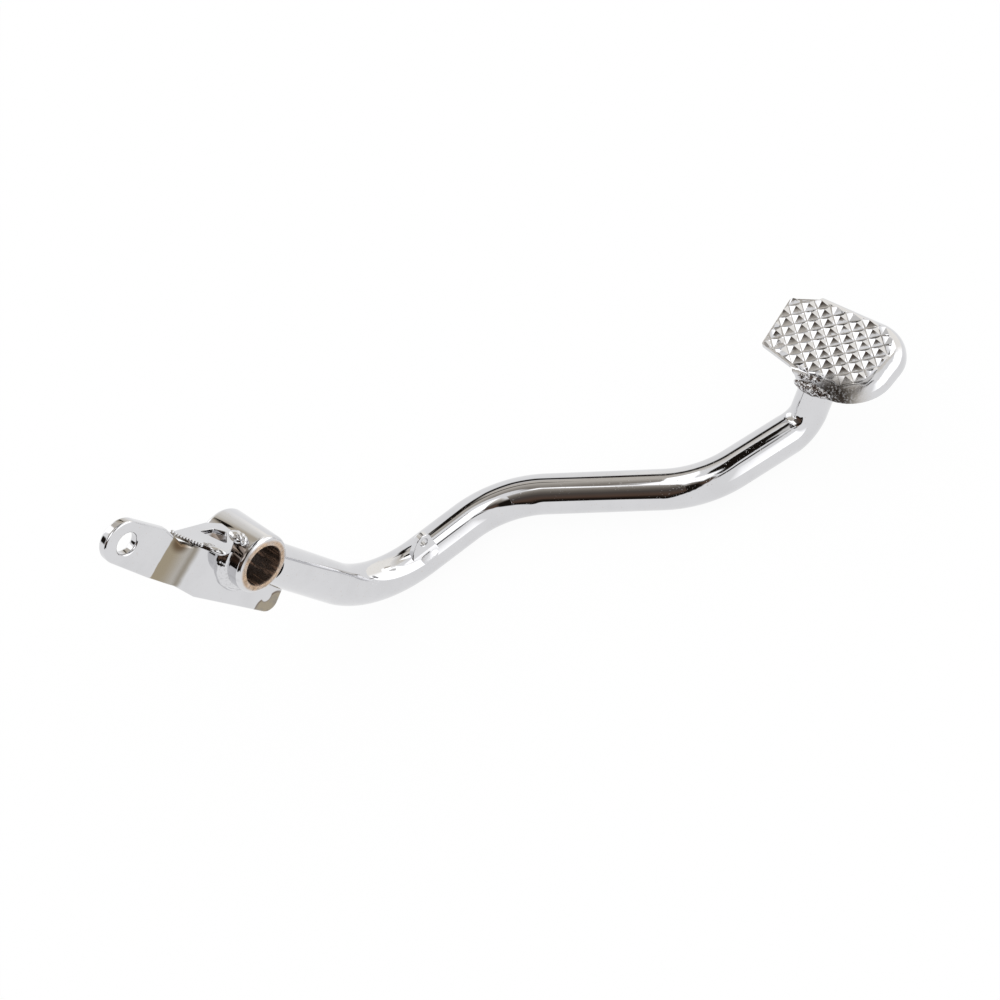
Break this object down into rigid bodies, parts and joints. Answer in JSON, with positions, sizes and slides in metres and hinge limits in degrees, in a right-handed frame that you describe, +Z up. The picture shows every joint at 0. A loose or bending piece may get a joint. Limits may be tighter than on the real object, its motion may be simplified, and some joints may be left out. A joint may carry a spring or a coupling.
{
  "type": "rear brake pedal",
  "caption": "Chromed foot brake pedal: pivot sleeve with a joggled lever plate and spring tab, bent round-tube arm with a switch lug, and a knurled skirted foot pad",
  "frame": {"origin": "middle of the pivot sleeve on the pivot axis", "axes": "+X forward along the arm, +Y inboard towards the frame along the pivot axis, +Z up"},
  "size_m": [0.2807, 0.1303, 0.1275],
  "materials": {
    "sleeve_chrome": "polished",
    "plate_chrome": "polished",
    "tab_chrome": "polished",
    "arm_chrome": "polished",
    "lug_chrome": "polished",
    "pad_chrome": "polished",
    "weld_chrome": "polished"
  },
  "bodies": {
    "root": {"pivot_sleeve": "sleeve_chrome", "lever_plate": "plate_chrome", "spring_tab": "tab_chrome", "arm_tube": "arm_chrome", "switch_lug": "lug_chrome", "foot_pad": "pad_chrome", "sleeve_weld": "weld_chrome", "tab_weld": "weld_chrome", "lug_weld": "weld_chrome", "pad_weld": "weld_chrome"}
  },
  "joints": []
}
